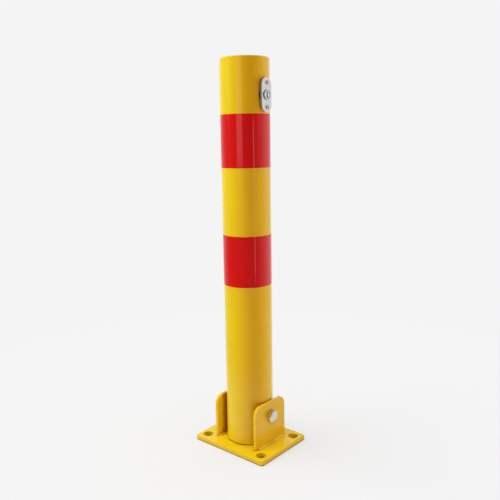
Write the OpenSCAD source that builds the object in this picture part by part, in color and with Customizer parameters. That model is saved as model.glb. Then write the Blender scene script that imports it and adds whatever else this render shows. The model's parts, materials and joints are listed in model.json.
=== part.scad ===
// Fold-down parking post: a steel tube that hinges between two ears on a base plate
// and is locked upright by a rod that a key lock near the top lifts and drops.
// X is the hinge axis with the lock facing +X, the post folds towards +Y, Z is up.
// The origin is the centre of the base plate's underside.

/* [Post tube] */
// Outer diameter of the post tube
tube_d = 76; // [70:1:90]
// Wall thickness of the post tube
tube_wall = 2.5; // [1.5:0.1:3.5]
// Height of the post's top above the base plate
post_h = 607; // [600:1:900]
// Gap between the tube's foot and the base plate
foot_gap = 2; // [0.5:0.1:3]
// Extra clearance of the rounded half of the foot
relief_clear = 0.5; // [0.3:0.1:2]

/* [Top cap] */
// Thickness of the welded cap
cap_t = 3; // [2.5:0.5:6]
// Rounding of the cap's rim
cap_rim_r = 2; // [0.5:0.5:2]

/* [Colour bands] */
// Height of each band of film
band_h = 79.6; // [40:0.1:100]
// Distance of the upper band below the post's top
band_drop = 82.7; // [80:0.1:120]
// Yellow left between the two bands
band_gap = 103.5; // [40:0.1:160]
// Thickness of the film
band_t = 0.3; // [0.1:0.1:0.5]

/* [Base plate] */
// Size along the hinge axis
plate_x = 143; // [140:1:200]
// Size along the folding direction
plate_y = 113; // [110:1:180]
// Thickness of the base plate
plate_t = 8; // [6:0.5:12]
// Radius of the plate's corners
plate_corner_r = 3; // [1:0.5:10]
// Chamfer along the plate's edges
plate_chamfer = 1; // [0.5:0.1:2]
// Anchor hole spacing along the hinge axis
anchor_x = 115; // [112:1:118]
// Anchor hole spacing along the folding direction
anchor_y = 83; // [70:1:88]
// Diameter of the anchor holes
anchor_d = 16; // [9:1:17]

/* [Hinge ears] */
// Width of an ear along the folding direction
ear_w = 75; // [60:1:90]
// Height of an ear above the base plate
ear_h = 70.7; // [66:0.1:90]
// Thickness of an ear
ear_t = 5; // [4:0.5:6]
// Radius of an ear's top corners
ear_corner_r = 15; // [5:1:25]
// Chamfer of an ear's lower corners
ear_foot_chamfer = 1; // [0.5:0.1:2]
// Gap between an ear and the tube
ear_gap = 0.4; // [0.3:0.1:1.5]
// Leg of the weld bead along an ear's outer foot
weld_leg = 4.5; // [3:0.5:6]
// Distance of the weld bead from the ear's ends
weld_inset = 5; // [2:1:15]
// Leg of the short bead at an ear's inner foot
tack_leg = 2.5; // [1.5:0.5:3]
// Length of the short bead at an ear's inner foot
tack_l = 14; // [8:1:15]

/* [Hinge bolt] */
// Height of the hinge axis above the base plate
pivot_h = 46.6; // [42:0.1:50]
// Diameter of the hinge bolt
bolt_d = 12; // [10:1:14]
// Width across the flats of the bolt head and the nut
hex_af = 18; // [17:1:22]
// Turn of the hexagons about the bolt, in degrees from a corner at the top
hex_turn = 21; // [0:1:59]
// Height of the bolt head
head_h = 7.5; // [5:0.5:9]
// Height of the nut's hexagon
nut_h = 9; // [7:0.5:12]
// Height of the nut's locking collar
nut_collar_h = 3; // [1:0.5:4]
// Diameter of the nut's locking collar
nut_collar_d = 16.7; // [15:0.1:17]
// Chamfer of the hexagon's corners and of the bolt's end
hex_chamfer = 0.95; // [0.5:0.05:1.5]
// Length of bolt that stands out of the nut
bolt_proud = 3; // [1:0.5:8]
// Outer diameter of the washer
washer_d = 24; // [23:1:30]
// Thickness of the washer
washer_t = 2.5; // [1.5:0.5:3]
// Radial clearance of the bolt in the ears
ear_hole_clear = 0.25; // [0.1:0.05:0.5]
// Outer diameter of the pivot sleeve
sleeve_d = 18; // [17:1:20]
// Radial running clearance of the pivot sleeve on the bolt
hinge_clear = 0.08; // [0.05:0.01:0.1]

/* [Lock rod] */
// Diameter of the lock rod
rod_d = 12; // [10:1:13]
// Distance of the lock rod from the tube's axis
rod_offset = 20; // [19:0.5:21]
// Height of the raised rod's tip above the base plate
rod_lift = 1.7; // [1.2:0.1:2.5]
// Length of the rod's tapered tip
rod_tip_l = 2.5; // [1:0.5:4]
// Diameter at the end of the tapered tip
rod_tip_d = 8; // [6:0.5:9]
// Radial clearance of the rod in the base plate's socket
socket_clear = 1; // [0.5:0.1:2]
// Radial clearance of the rod in its guides
guide_clear = 0.5; // [0.3:0.1:1]
// Thickness of a rod guide
guide_t = 3; // [2:0.5:6]
// Height of the lower rod guide above the base plate
guide_low_h = 100; // [70:1:180]
// Distance of the upper rod guide below the lock's axis
guide_drop = 70.4; // [65:0.1:100]
// Diameter of the vent hole in a rod guide
guide_vent_d = 24; // [10:1:28]
// Distance of the vent hole from the tube's axis
guide_vent_offset = 17; // [14:1:19]

/* [Rod spring] */
// Length of the spring while the rod is raised
spring_l = 45; // [35:1:80]
// Mean diameter of the coils
spring_d = 17; // [16:0.5:18]
// Diameter of the spring wire
wire_d = 2; // [1.4:0.1:2.4]
// Number of coils
coils = 8; // [5:1:10]
// Outer diameter of the spring collar
collar_d = 22; // [20:1:24]
// Thickness of the spring collar
collar_t = 3; // [2:0.5:5]
// Diameter of the pin under the collar
collar_pin_d = 3; // [2:0.5:4]
// Length of the pin under the collar
collar_pin_l = 20; // [16:1:22]

/* [Lock plate] */
// Distance of the lock's axis below the post's top
lock_drop = 55.8; // [45:0.1:62]
// Width of the lock plate
lock_plate_w = 23; // [22:0.5:30]
// Length of the lock plate
lock_plate_l = 50; // [47:0.5:55]
// Thickness of the lock plate
lock_plate_t = 3.5; // [2.5:0.1:5]
// Chamfer round the lock plate's face
lock_plate_chamfer = 0.8; // [0.3:0.1:1.5]
// Gap between the lock plate and the tube's crest
lock_plate_gap = 1; // [0.5:0.1:3]
// Diameter of the rubber seal behind the plate
seal_d = 22; // [21:0.5:26]
// Spacing of the two plate screws
screw_spacing = 35.4; // [33.6:0.1:37.6]
// Diameter of the plate screws' shanks
screw_d = 4; // [3:0.5:4]
// Diameter of the plate screws' heads
screw_head_d = 6.8; // [6:0.1:7.5]
// Length of the plate screws
screw_l = 14; // [10:1:18]
// Radial clearance of the plate screws in the plate
screw_clear = 0.2; // [0.1:0.05:0.4]
// Width of the screws' cross recess
cross_w = 0.9; // [0.6:0.1:1.2]
// Length of the screws' cross recess
cross_l = 3.8; // [3:0.1:4.5]
// Depth of the screws' cross recess
cross_depth = 1.2; // [0.6:0.1:1.8]

/* [Key lock] */
// Diameter of the lock housing
housing_d = 19; // [17:0.5:21]
// Length of the housing behind the lock plate
housing_l = 30; // [26:0.5:31]
// Radial clearance of the housing in the tube's hole
housing_clear = 0.3; // [0.1:0.1:0.6]
// Diameter of the housing's nose
nose_d = 14.6; // [14:0.1:16]
// Length of nose that stands out of the plate
nose_proud = 1.4; // [1:0.1:4]
// Chamfer of the nose's rim
nose_chamfer = 0.6; // [0.2:0.1:0.8]
// Diameter of the key plug
plug_d = 10; // [9.6:0.1:10.6]
// Diameter of the key plug's front shoulder
plug_head_d = 12; // [11.2:0.1:12.4]
// Length of the key plug's front shoulder
plug_head_l = 3; // [2:0.5:5]
// Depth of the plug's face inside the nose
plug_recess = 0.4; // [0.2:0.1:1]
// Radial running clearance of the key plug
plug_clear = 0.1; // [0.05:0.01:0.1]
// Height of the keyway
keyway_h = 8.8; // [6.5:0.1:9]
// Width of the keyway
keyway_w = 2.8; // [2.2:0.1:3.4]
// Depth of the keyway
keyway_depth = 22; // [15:1:28]
// Width across the flats of the plug's square tail
tail_af = 5; // [4:0.1:5.2]

/* [Cam and yoke] */
// Distance of the cam pin from the lock's axis
cam_throw = 6.5; // [6.3:0.1:6.8]
// Key turn between unlocked and locked, in degrees
key_turn = 90; // [80:1:100]
// Thickness of the cam
cam_t = 3; // [2:0.5:3.5]
// Diameter of the cam's hub
cam_hub_d = 16; // [14:0.5:18]
// Diameter of the cam's rounded end at the pin
cam_end_d = 9; // [8:0.5:10]
// Axial clearance in front of and behind the cam
cam_clear = 0.3; // [0.2:0.1:0.5]
// Diameter of the cam pin
cam_pin_d = 5; // [4:0.1:5]
// Length of cam pin that stands out of the yoke
cam_pin_proud = 1.2; // [0.5:0.1:3]
// Diameter of the cam screw's head
cam_screw_head_d = 7.2; // [6.5:0.1:7.4]
// Height of the cam screw's head
cam_screw_head_h = 2.2; // [1.5:0.1:2.4]
// Diameter of the cam screw's shank
cam_screw_d = 3; // [2.5:0.1:3.5]
// Length of the cam screw's shank
cam_screw_l = 8; // [5:1:12]
// Thickness of the yoke
yoke_t = 4; // [3:0.5:5]
// Gap between the cam screw's head and the yoke
yoke_gap = 1.5; // [0.5:0.1:3]
// Height of the yoke's head
yoke_head_h = 17; // [14:0.5:20]
// Radial clearance of the cam pin in the yoke's slot
yoke_clear = 0.4; // [0.35:0.05:0.6]
// Metal between the yoke's slot and its free end
yoke_nose = 3.5; // [2:0.5:5]
// Drop from the lock's axis to the top of the rod
rod_drop = 20; // [16:1:25]
// Depth of the slit that holds the yoke in the rod
rod_slit_l = 15; // [10:1:20]

/* [Hidden] */
$fn = 96;

// Overlap that lets one solid cut right through another
cut = 1;
tube_r = tube_d / 2;
bore_r = tube_r - tube_wall;
pivot_z = plate_t + pivot_h;
foot_z = plate_t + foot_gap;
swing_r = pivot_h - foot_gap - relief_clear;
top_z = plate_t + post_h;
ear_in = tube_r + ear_gap;
ear_out = ear_in + ear_t;
hex_corner_d = hex_af / cos(30);
band_high_z = top_z - band_drop - band_h;
band_low_z = band_high_z - band_gap - band_h;

lock_z = top_z - lock_drop;
plate_back = tube_r + lock_plate_gap;
plate_face = plate_back + lock_plate_t;
housing_back = plate_back - housing_l;
nose_end = plate_face + nose_proud;
plug_face = nose_end - plug_recess;
cam_front = housing_back - cam_clear;
cam_back = cam_front - cam_t;
tail_end = cam_back + cam_clear;

// The cam pin swings the same angle above and below the lock's axis
rod_travel = 2 * cam_throw * sin(key_turn / 2);
pin_y = -cam_throw * cos(key_turn / 2);
pin_z = cam_throw * sin(key_turn / 2);
slot_r = cam_pin_d / 2 + yoke_clear;
slot_out = -cam_throw - yoke_clear / 2;
slot_in = pin_y + yoke_clear / 2;
rod_x = cam_back - cam_screw_head_h - yoke_gap - yoke_t / 2;
rod_tip_z = plate_t + rod_lift;
rod_top_z = lock_z - rod_drop;
rod_l = rod_top_z - rod_tip_z;
guide_low_z = plate_t + guide_low_h;
guide_high_z = lock_z - guide_drop;
collar_z = guide_high_z - spring_l - collar_t;
spring_pitch = spring_l / coils;

paint_yellow = [0.93, 0.7, 0.08];
film_red = [0.82, 0.07, 0.08];
zinc = [0.78, 0.79, 0.8];
chrome = [0.86, 0.86, 0.88];
raw_steel = [0.55, 0.56, 0.58];
spring_steel = [0.35, 0.36, 0.38];
brass = [0.78, 0.64, 0.32];
rubber = [0.06, 0.06, 0.06];

// Places a shape that is drawn along Z so that it lies along X
module along_x() {
    rotate([0, 90, 0]) children();
}

// Flat rectangle with round corners
module round_rect(w, l, r) {
    square([w - 2 * r, l], center = true);
    square([w, l - 2 * r], center = true);
    for (x = [-1, 1], y = [-1, 1])
        translate([x * (w / 2 - r), y * (l / 2 - r)]) circle(r);
}

// Rectangle with cut corners, for chamfered sections
module cut_rect(w, h, c) {
    polygon([
        [-w / 2 + c, -h / 2], [w / 2 - c, -h / 2], [w / 2, -h / 2 + c], [w / 2, h / 2 - c],
        [w / 2 - c, h / 2], [-w / 2 + c, h / 2], [-w / 2, h / 2 - c], [-w / 2, -h / 2 + c]
    ]);
}

// Hexagon prism with the corners of its far end chamfered
module hex_prism(h) {
    intersection() {
        rotate([0, 0, hex_turn]) cylinder(d = hex_corner_d, h = h, $fn = 6);
        union() {
            cylinder(d = hex_corner_d + cut, h = h - hex_chamfer);
            translate([0, 0, h - hex_chamfer])
                cylinder(d1 = hex_corner_d, d2 = hex_af - hex_chamfer, h = hex_chamfer);
        }
    }
}

// Fillet weld section in the corner of a floor and a wall, with a hollow face
module weld_section(leg) {
    centre = 1.6 * leg;
    difference() {
        square(leg);
        translate([centre, centre]) circle(norm([centre, centre - leg]));
    }
}

module base_plate() {
    color(paint_yellow)
    difference() {
        translate([0, 0, plate_t / 2])
        intersection() {
            linear_extrude(plate_t, center = true) round_rect(plate_x, plate_y, plate_corner_r);
            rotate([90, 0, 0]) linear_extrude(plate_y + cut, center = true)
                cut_rect(plate_x, plate_t, plate_chamfer);
            rotate([90, 0, 90]) linear_extrude(plate_x + cut, center = true)
                cut_rect(plate_y, plate_t, plate_chamfer);
        }
        for (x = [-1, 1], y = [-1, 1])
            translate([x * anchor_x / 2, y * anchor_y / 2, -cut])
                cylinder(d = anchor_d, h = plate_t + 2 * cut);
        translate([rod_x, -rod_offset, -cut])
            cylinder(r = rod_d / 2 + socket_clear, h = plate_t + 2 * cut);
    }
}

// Ear outline with the plate's top as its base line, standing on the Y axis
module ear_outline() {
    half = ear_w / 2;
    side_top = ear_h - ear_corner_r;
    polygon([
        [-half, side_top], [-half, ear_foot_chamfer], [-half + ear_foot_chamfer, 0],
        [half - ear_foot_chamfer, 0], [half, ear_foot_chamfer], [half, side_top]
    ]);
    translate([-half + ear_corner_r, 0]) square([ear_w - 2 * ear_corner_r, ear_h]);
    for (y = [-1, 1])
        translate([y * (half - ear_corner_r), side_top]) circle(ear_corner_r);
}

// side is 1 for the ear at +X and -1 for the ear at -X
module ear(side) {
    color(paint_yellow)
    translate([side * (ear_in + ear_t / 2), 0, 0])
    difference() {
        translate([0, 0, plate_t]) rotate([90, 0, 90])
            linear_extrude(ear_t, center = true) ear_outline();
        translate([0, 0, pivot_z]) along_x()
            cylinder(r = bolt_d / 2 + ear_hole_clear, h = ear_t + 2 * cut, center = true);
    }
}

// The outer bead runs along the ear, and short inner beads sit where the round tube leaves room
module ear_weld(side) {
    bead_l = ear_w - 2 * weld_inset;
    color(paint_yellow)
    mirror([side < 0 ? 1 : 0, 0, 0]) {
        translate([ear_out, bead_l / 2, plate_t]) rotate([90, 0, 0])
            linear_extrude(bead_l) weld_section(weld_leg);
        for (y = [tack_l + ear_foot_chamfer - ear_w / 2, ear_w / 2 - ear_foot_chamfer])
            translate([ear_in, y, plate_t]) mirror([1, 0, 0]) rotate([90, 0, 0])
                linear_extrude(tack_l) weld_section(tack_leg);
    }
}

module ear_right() { ear(1); }
module ear_left() { ear(-1); }
module ear_weld_right() { ear_weld(1); }
module ear_weld_left() { ear_weld(-1); }

module hinge_bolt() {
    bolt_end = -(ear_out + washer_t + nut_h + nut_collar_h + bolt_proud);
    color(zinc)
    translate([0, 0, pivot_z]) {
        translate([ear_out, 0, 0]) along_x() hex_prism(head_h);
        translate([bolt_end + hex_chamfer, 0, 0]) along_x()
            cylinder(d = bolt_d, h = ear_out - bolt_end - hex_chamfer);
        translate([bolt_end, 0, 0]) along_x()
            cylinder(d1 = bolt_d - 2 * hex_chamfer, d2 = bolt_d, h = hex_chamfer);
    }
}

module hinge_washer() {
    color(zinc)
    translate([-ear_out - washer_t, 0, pivot_z]) along_x()
    difference() {
        cylinder(d = washer_d, h = washer_t);
        translate([0, 0, -cut]) cylinder(r = bolt_d / 2 + ear_hole_clear, h = washer_t + 2 * cut);
    }
}

module hinge_nut() {
    color(zinc)
    translate([-ear_out - washer_t, 0, pivot_z]) mirror([1, 0, 0]) along_x()
    difference() {
        union() {
            hex_prism(nut_h);
            cylinder(d = nut_collar_d, h = nut_h + nut_collar_h);
        }
        translate([0, 0, -cut]) cylinder(d = bolt_d, h = nut_h + nut_collar_h + 2 * cut);
    }
}

// What is cut from the folding half of the foot so that it rolls clear of the plate
module foot_relief() {
    difference() {
        translate([-tube_d, 0, 0]) cube([2 * tube_d, tube_d, pivot_z]);
        translate([0, 0, pivot_z]) along_x()
            cylinder(r = swing_r, h = 2 * tube_d + 2 * cut, center = true);
    }
}

module post_tube() {
    tube_l = top_z - cap_t - foot_z;
    color(paint_yellow)
    difference() {
        translate([0, 0, foot_z]) cylinder(r = tube_r, h = tube_l);
        translate([0, 0, foot_z - cut]) cylinder(r = bore_r, h = tube_l + 2 * cut);
        foot_relief();
        translate([0, 0, pivot_z]) along_x() cylinder(d = sleeve_d, h = tube_d + 2 * cut, center = true);
        translate([0, 0, lock_z]) along_x()
            cylinder(r = housing_d / 2 + housing_clear, h = tube_d);
        for (z = [-1, 1])
            translate([0, 0, lock_z + z * screw_spacing / 2]) along_x() cylinder(d = screw_d, h = tube_d);
    }
}

module top_cap() {
    color(paint_yellow)
    translate([0, 0, top_z - cap_t])
    rotate_extrude() {
        square([tube_r - cap_rim_r, cap_t]);
        square([tube_r, cap_t - cap_rim_r]);
        intersection() {
            translate([tube_r - cap_rim_r, cap_t - cap_rim_r]) circle(cap_rim_r);
            square([tube_r, cap_t]);
        }
    }
}

module band(z) {
    color(film_red)
    translate([0, 0, z])
    difference() {
        cylinder(r = tube_r + band_t, h = band_h);
        translate([0, 0, -cut]) cylinder(r = tube_r, h = band_h + 2 * cut);
    }
}

module band_lower() { band(band_low_z); }
module band_upper() { band(band_high_z); }

// The sleeve is welded through both walls, and its ends run against the ears
module pivot_sleeve() {
    color(raw_steel)
    translate([0, 0, pivot_z]) along_x()
    difference() {
        cylinder(d = sleeve_d, h = tube_d, center = true);
        cylinder(r = bolt_d / 2 + hinge_clear, h = tube_d + 2 * cut, center = true);
    }
}

module rod_guide(z) {
    color(raw_steel)
    translate([0, 0, z])
    difference() {
        cylinder(r = bore_r, h = guide_t);
        translate([rod_x, -rod_offset, -cut])
            cylinder(r = rod_d / 2 + guide_clear, h = guide_t + 2 * cut);
        translate([0, guide_vent_offset, -cut])
            cylinder(d = guide_vent_d, h = guide_t + 2 * cut);
    }
}

module rod_guide_lower() { rod_guide(guide_low_z); }
module rod_guide_upper() { rod_guide(guide_high_z); }

// Level section through a coil of round wire: a point at height h on the wire
// lies h / pitch of a turn along the coil
function coil_section(points) = [
    for (i = [0 : points - 1])
        let (
            a = 360 * i / points,
            r = (spring_d + wire_d * cos(a)) / 2,
            turn = 360 * wire_d / 2 * sin(a) / spring_pitch
        )
        r * [cos(turn), sin(turn)]
];

module rod_spring() {
    sides = 14;
    color(spring_steel)
    translate([rod_x, -rod_offset, guide_high_z - spring_l])
        linear_extrude(spring_l, twist = -360 * coils, slices = 18 * coils, segments = sides)
            polygon(coil_section(sides));
}

// Disc of rubber whose back is hollowed to the tube
module lock_seal() {
    color(rubber)
    difference() {
        translate([bore_r, 0, lock_z]) along_x() cylinder(d = seal_d, h = plate_back - bore_r);
        translate([0, 0, lock_z - seal_d]) cylinder(r = tube_r, h = 2 * seal_d);
        translate([0, 0, lock_z]) along_x() cylinder(r = housing_d / 2 + housing_clear, h = plate_face);
    }
}

// Half of the lock plate's section across its width, with the face at the top
module lock_plate_section() {
    half = lock_plate_w / 2;
    polygon([
        [0, 0], [half, 0], [half, lock_plate_t - lock_plate_chamfer],
        [half - lock_plate_chamfer, lock_plate_t], [0, lock_plate_t]
    ]);
}

module lock_plate() {
    straight = lock_plate_l - lock_plate_w;
    color(chrome)
    translate([plate_back, 0, lock_z]) along_x()
    difference() {
        union() {
            for (end = [-1, 1]) {
                translate([end * straight / 2, 0, 0]) rotate_extrude() lock_plate_section();
                mirror([0, end < 0 ? 1 : 0, 0]) rotate([90, 0, 90])
                    linear_extrude(straight, center = true) lock_plate_section();
            }
        }
        translate([0, 0, -cut]) cylinder(d = nose_d, h = lock_plate_t + 2 * cut);
        for (end = [-1, 1])
            translate([end * screw_spacing / 2, 0, 0]) {
                translate([0, 0, -cut]) cylinder(r = screw_d / 2 + screw_clear, h = lock_plate_t + 2 * cut);
                translate([0, 0, lock_plate_t - (screw_head_d - screw_d) / 2])
                    cylinder(d1 = screw_d, d2 = screw_head_d, h = (screw_head_d - screw_d) / 2);
            }
    }
}

// Countersunk screws with a cross recess, through the plate into the tube's wall
module lock_screws() {
    head_l = (screw_head_d - screw_d) / 2;
    color(chrome)
    for (end = [-1, 1])
        translate([plate_face, 0, lock_z + end * screw_spacing / 2]) along_x()
        difference() {
            union() {
                translate([0, 0, -head_l]) cylinder(d1 = screw_d, d2 = screw_head_d, h = head_l);
                translate([0, 0, -screw_l]) cylinder(d = screw_d, h = screw_l - head_l);
            }
            for (turn = [0, 90])
                rotate([0, 0, turn]) translate([-cross_l / 2, -cross_w / 2, -cross_depth])
                    cube([cross_l, cross_w, cross_depth + cut]);
        }
}

module lock_housing() {
    plug_seat = plug_face - plug_head_l;
    color(brass)
    translate([0, 0, lock_z])
    difference() {
        union() {
            translate([housing_back, 0, 0]) along_x() cylinder(d = housing_d, h = housing_l);
            translate([plate_back, 0, 0]) along_x()
                cylinder(d = nose_d, h = nose_end - plate_back - nose_chamfer);
            translate([nose_end - nose_chamfer, 0, 0]) along_x()
                cylinder(d1 = nose_d, d2 = nose_d - 2 * nose_chamfer, h = nose_chamfer);
        }
        translate([housing_back - cut, 0, 0]) along_x()
            cylinder(r = plug_d / 2 + plug_clear, h = nose_end - housing_back + 2 * cut);
        translate([plug_seat - plug_clear, 0, 0]) along_x()
            cylinder(r = plug_head_d / 2 + plug_clear, h = plug_head_l + plug_clear + plug_recess + cut);
    }
}

module key_plug() {
    color(chrome)
    translate([0, 0, lock_z])
    difference() {
        union() {
            translate([housing_back, 0, 0]) along_x() cylinder(d = plug_d, h = plug_face - housing_back);
            translate([plug_face - plug_head_l, 0, 0]) along_x()
                cylinder(d = plug_head_d, h = plug_head_l);
            translate([tail_end, -tail_af / 2, -tail_af / 2])
                cube([housing_back - tail_end + cut, tail_af, tail_af]);
        }
        translate([plug_face - keyway_depth, -keyway_w / 2, -keyway_h / 2])
            cube([keyway_depth + cut, keyway_w, keyway_h]);
        translate([cam_back, 0, 0]) along_x() cylinder(d = cam_screw_d, h = cam_screw_l);
    }
}

module lock_cam() {
    color(zinc)
    translate([cam_back, 0, lock_z])
    difference() {
        union() {
            along_x() cylinder(d = cam_hub_d, h = cam_t);
            translate([0, pin_y, pin_z]) along_x() cylinder(d = cam_end_d, h = cam_t);
        }
        translate([-cut, -tail_af / 2, -tail_af / 2]) cube([cam_t + 2 * cut, tail_af, tail_af]);
        translate([-cut, pin_y, pin_z]) along_x() cylinder(d = cam_pin_d, h = cam_t + 2 * cut);
    }
}

module cam_pin() {
    pin_end = rod_x - yoke_t / 2 - cam_pin_proud;
    color(zinc)
    translate([pin_end, pin_y, lock_z + pin_z]) along_x()
        cylinder(d = cam_pin_d, h = cam_front - pin_end);
}

module cam_screw() {
    color(zinc)
    translate([cam_back, 0, lock_z]) along_x() {
        cylinder(d = cam_screw_d, h = cam_screw_l);
        translate([0, 0, -cam_screw_head_h]) cylinder(d = cam_screw_head_d, h = cam_screw_head_h);
    }
}

module lock_rod() {
    color(raw_steel)
    translate([rod_x, -rod_offset, rod_tip_z])
    difference() {
        union() {
            cylinder(d1 = rod_tip_d, d2 = rod_d, h = rod_tip_l);
            translate([0, 0, rod_tip_l]) cylinder(d = rod_d, h = rod_l - rod_tip_l);
        }
        translate([-yoke_t / 2, -rod_d, rod_l - rod_slit_l]) cube([yoke_t, 2 * rod_d, rod_slit_l + cut]);
        translate([0, 0, collar_z - collar_pin_d / 2 - rod_tip_z]) along_x()
            cylinder(d = collar_pin_d, h = 2 * rod_d, center = true);
    }
}

module spring_collar() {
    color(zinc)
    translate([rod_x, -rod_offset, collar_z])
    difference() {
        cylinder(d = collar_d, h = collar_t);
        translate([0, 0, -cut]) cylinder(d = rod_d, h = collar_t + 2 * cut);
    }
}

module collar_pin() {
    color(spring_steel)
    translate([rod_x, -rod_offset, collar_z - collar_pin_d / 2]) along_x()
        cylinder(d = collar_pin_d, h = collar_pin_l, center = true);
}

// Flat plate in the rod's slit, with a crosswise slot that the cam pin drives
module rod_yoke() {
    stem_in = -rod_offset + rod_d / 2;
    stem_out = -rod_offset - rod_d / 2;
    head_in = slot_in + slot_r + yoke_nose;
    head_low = pin_z - yoke_head_h / 2;
    stem_low = rod_top_z - rod_slit_l - lock_z;
    color(zinc)
    translate([rod_x, 0, lock_z]) rotate([90, 0, 90])
    linear_extrude(yoke_t, center = true)
    difference() {
        union() {
            translate([stem_out, stem_low]) square([stem_in - stem_out, head_low - stem_low + cut]);
            translate([stem_out, head_low]) square([head_in - stem_out, yoke_head_h]);
        }
        for (y = [slot_out, slot_in]) translate([y, pin_z]) circle(slot_r);
        translate([slot_out, pin_z - slot_r]) square([slot_in - slot_out, 2 * slot_r]);
    }
}

base_plate();
ear_right();
ear_left();
ear_weld_right();
ear_weld_left();
hinge_bolt();
hinge_washer();
hinge_nut();
post_tube();
top_cap();
band_lower();
band_upper();
pivot_sleeve();
rod_guide_lower();
rod_guide_upper();
rod_spring();
lock_seal();
lock_plate();
lock_screws();
lock_housing();
lock_rod();
spring_collar();
collar_pin();
rod_yoke();
key_plug();
lock_cam();
cam_pin();
cam_screw();
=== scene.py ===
import json
import math

import bmesh
import bpy
from mathutils import Matrix, Vector, noise


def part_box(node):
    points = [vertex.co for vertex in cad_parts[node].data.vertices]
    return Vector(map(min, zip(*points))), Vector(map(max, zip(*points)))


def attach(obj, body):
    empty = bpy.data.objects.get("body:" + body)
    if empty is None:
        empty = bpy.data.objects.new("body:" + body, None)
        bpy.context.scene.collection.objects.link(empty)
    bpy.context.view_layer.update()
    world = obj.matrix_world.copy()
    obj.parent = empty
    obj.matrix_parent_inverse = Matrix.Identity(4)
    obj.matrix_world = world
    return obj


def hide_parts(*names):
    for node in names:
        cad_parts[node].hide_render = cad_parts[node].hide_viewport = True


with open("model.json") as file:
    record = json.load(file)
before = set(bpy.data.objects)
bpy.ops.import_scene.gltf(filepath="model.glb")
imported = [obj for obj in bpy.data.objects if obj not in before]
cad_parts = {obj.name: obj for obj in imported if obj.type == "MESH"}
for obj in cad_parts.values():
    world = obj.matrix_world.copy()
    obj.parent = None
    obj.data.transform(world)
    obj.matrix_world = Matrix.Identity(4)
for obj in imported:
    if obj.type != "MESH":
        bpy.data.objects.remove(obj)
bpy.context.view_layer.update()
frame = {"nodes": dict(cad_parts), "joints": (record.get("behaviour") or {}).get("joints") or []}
print("frame loaded:", len(frame["nodes"]), "nodes")

# Shared places, all from the frame (metres)
plateLow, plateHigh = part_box("base_plate")
plateTop = plateHigh.z
tubeLow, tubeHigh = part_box("post_tube")
tubeRadius = tubeHigh.x
hinge = next(j for j in frame["joints"] if j["name"] == "post_fold")
lockJoint = next(j for j in frame["joints"] if j["name"] == "key_turn")
pivot = Vector(hinge["pos_m"])
lockZ = lockJoint["pos_m"][2]


# Mesh helpers

poleRadius = 1e-7  # a point of a turned profile nearer the axis than this is a pole
facingX = Matrix(((0, 0, 1, 0), (1, 0, 0, 0), (0, 1, 0, 0), (0, 0, 0, 1)))


def meshObject(name, verts, faces):
    mesh = bpy.data.meshes.new(name)
    mesh.from_pydata([tuple(v) for v in verts], [], faces)
    mesh.validate()
    bm = bmesh.new()
    bm.from_mesh(mesh)
    bmesh.ops.recalc_face_normals(bm, faces=bm.faces)
    bm.to_mesh(mesh)
    bm.free()
    obj = bpy.data.objects.new(name, mesh)
    bpy.context.scene.collection.objects.link(obj)
    return obj


def ringFaces(count, rings, start=0):
    # Quads between rings of count points, one ring after the other in the list
    faces = []
    for level in range(rings - 1):
        first = start + level * count
        for i in range(count):
            a, b = first + i, first + (i + 1) % count
            faces.append([a, b, b + count, a + count])
    return faces


def endFaces(count, rings, start=0):
    last = start + (rings - 1) * count
    return [list(range(start, start + count))[::-1], list(range(last, last + count))]


def bakeModifiers(obj):
    # Turns the modifier stack into the piece's own mesh
    bpy.context.view_layer.update()
    graph = bpy.context.evaluated_depsgraph_get()
    solid = bpy.data.meshes.new_from_object(obj.evaluated_get(graph))
    obj.modifiers.clear()
    obj.data = solid
    return obj


def softenEdges(obj, width, segments=3, angle=32):
    bevel = obj.modifiers.new("bevel", "BEVEL")
    bevel.width = width
    bevel.segments = segments
    bevel.limit_method = "ANGLE"
    bevel.angle_limit = math.radians(angle)
    bevel.harden_normals = True
    for face in obj.data.polygons:
        face.use_smooth = True
    return bakeModifiers(obj)


def smoothFaces(obj, angle):
    # Smooth shading that keeps large faces flat and edges past the angle crisp
    for face in obj.data.polygons:
        face.use_smooth = True
    bm = bmesh.new()
    bm.from_mesh(obj.data)
    for edge in bm.edges:
        if len(edge.link_faces) == 2 and edge.calc_face_angle(0) > math.radians(angle):
            edge.smooth = False
    bm.to_mesh(obj.data)
    bm.free()
    weighted = obj.modifiers.new("weighted", "WEIGHTED_NORMAL")
    weighted.keep_sharp = True
    weighted.weight = 80
    return bakeModifiers(obj)


def cutWith(obj, cutters):
    for cutter in cutters:
        boolean = obj.modifiers.new("cut", "BOOLEAN")
        boolean.operation = "DIFFERENCE"
        boolean.solver = "EXACT"
        boolean.object = cutter
    bakeModifiers(obj)
    for cutter in cutters:
        bpy.data.objects.remove(cutter)
    return obj


def turned(name, profile, segments=96, along="Z", origin=(0, 0, 0)):
    # Lathe: profile is a closed loop of (radius, distance along the axis); radius 0 gives a pole
    verts, rings = [], []
    for radius, reach in profile:
        if radius < poleRadius:
            rings.append([len(verts)] * segments)
            verts.append((0, 0, reach))
        else:
            rings.append(list(range(len(verts), len(verts) + segments)))
            for i in range(segments):
                a = 2 * math.pi * i / segments
                verts.append((radius * math.cos(a), radius * math.sin(a), reach))
    pairs = list(zip(rings, rings[1:]))
    if profile[0][0] > poleRadius or profile[-1][0] > poleRadius:
        pairs.append((rings[-1], rings[0]))
    faces = []
    for lower, upper in pairs:
        for i in range(segments):
            j = (i + 1) % segments
            corners = list(dict.fromkeys([lower[i], lower[j], upper[j], upper[i]]))
            if len(corners) > 2:
                faces.append(corners)
    obj = meshObject(name, verts, faces)
    turn = Matrix.Rotation(math.radians(90), 4, "Y") if along == "X" else Matrix.Identity(4)
    obj.data.transform(Matrix.Translation(origin) @ turn)
    return obj


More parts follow.
